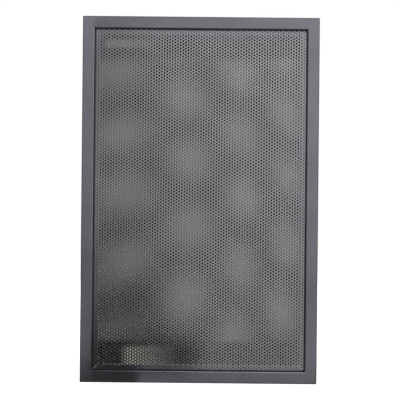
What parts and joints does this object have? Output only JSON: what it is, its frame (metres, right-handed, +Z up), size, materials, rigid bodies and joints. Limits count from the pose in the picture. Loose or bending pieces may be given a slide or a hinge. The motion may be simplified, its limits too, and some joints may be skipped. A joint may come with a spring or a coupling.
{
  "type": "perforated rack door",
  "caption": "Door leaf for an equipment rack: mitred folded steel frame around a recessed perforated sheet, with pin hinges and magnetic catches on the back.",
  "frame": {"origin": "seat of the lower hinge pin: on the hinge axis, at the shoulder where the pin's thin end leaves its bracket", "axes": "+Z up along the hinge axis, +Y from the front face to the back, X across the door with the hinge side at high X"},
  "size_m": [0.577, 0.0462, 0.892],
  "materials": {
    "powder_coat": "semi-gloss dark grey powder coat",
    "sheet_coat": "satin grey powder coat on punched sheet",
    "clamp_coat": "semi-gloss dark grey powder coat",
    "zinc_plate": "bright zinc plated steel",
    "bright_steel": "turned steel",
    "spring_steel": "oiled spring steel",
    "catch_plastic": "fine-grained moulded plastic",
    "magnet_ferrite": "sintered ferrite",
    "black_rubber": "moulded rubber"
  },
  "bodies": {
    "door": {"top_rail": "powder_coat", "bottom_rail": "powder_coat", "left_stile": "powder_coat", "right_stile": "powder_coat", "perforated_sheet": "sheet_coat", "lip_seal": "black_rubber", "rear_top_clamp": "clamp_coat", "rear_bottom_clamp": "clamp_coat", "rear_left_clamp": "clamp_coat", "rear_right_clamp": "clamp_coat", "bottom_left_cleat": "zinc_plate", "bottom_right_cleat": "zinc_plate", "top_left_cleat": "zinc_plate", "top_right_cleat": "zinc_plate", "upper_hinge_bracket": "zinc_plate", "lower_hinge_bracket": "zinc_plate", "lower_hinge_pin": "bright_steel", "upper_hinge_spring": "spring_steel", "lower_catch_housing": "catch_plastic", "upper_catch_housing": "catch_plastic", "lower_catch_magnet": "magnet_ferrite", "upper_catch_magnet": "magnet_ferrite", "lower_catch_poles": "zinc_plate", "upper_catch_poles": "zinc_plate", "earth_stud": "bright_steel", "earth_washer": "zinc_plate", "earth_nut": "zinc_plate", "top_left_buffer": "black_rubber", "top_right_buffer": "black_rubber", "bottom_left_buffer": "black_rubber", "bottom_right_buffer": "black_rubber"},
    "upper_pin": {"upper_hinge_pin": "bright_steel", "upper_pin_lever": "zinc_plate", "upper_hinge_clip": "spring_steel"}
  },
  "joints": [
    {"name": "upper_pin_slide", "type": "slide", "parent": "door", "child": "upper_pin", "axis": [0, 0, -1], "range_m": [0, 0.012], "stiffness_N_per_m": 1000, "springref_m": -0.01, "deforming": ["upper_hinge_spring"]}
  ]
}
